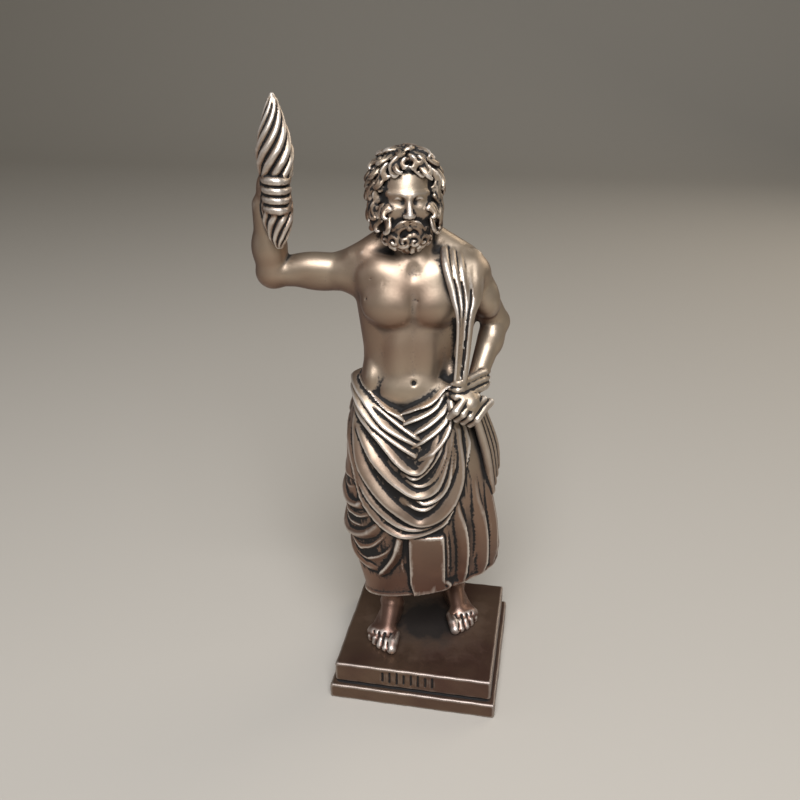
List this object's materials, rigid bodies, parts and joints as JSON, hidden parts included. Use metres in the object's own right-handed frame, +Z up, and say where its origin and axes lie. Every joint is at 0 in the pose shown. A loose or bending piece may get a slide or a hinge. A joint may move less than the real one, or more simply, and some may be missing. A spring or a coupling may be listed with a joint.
{
  "type": "zeus statue",
  "caption": "Standing bearded figure in a draped robe, one fist raised with a twisted thunderbolt, the other at the hip, on a square two-step plinth.",
  "frame": {"origin": "centre of the plinth's underside", "axes": "+Z up from the plinth to the flame's tip, -Y out of the plinth's inscribed front, +X towards the figure's left hand, the one at its hip"},
  "size_m": [0.1254, 0.087, 0.3001],
  "materials": {
    "bronze_figure": "antique bronze metallic paint on cast resin, rubbed bright on the ridges and dark in the recesses",
    "bronze_plinth": "antique bronze metallic paint on cast resin, darker and duller"
  },
  "bodies": {
    "root": {"figure": "bronze_figure", "plinth": "bronze_plinth"}
  },
  "joints": []
}
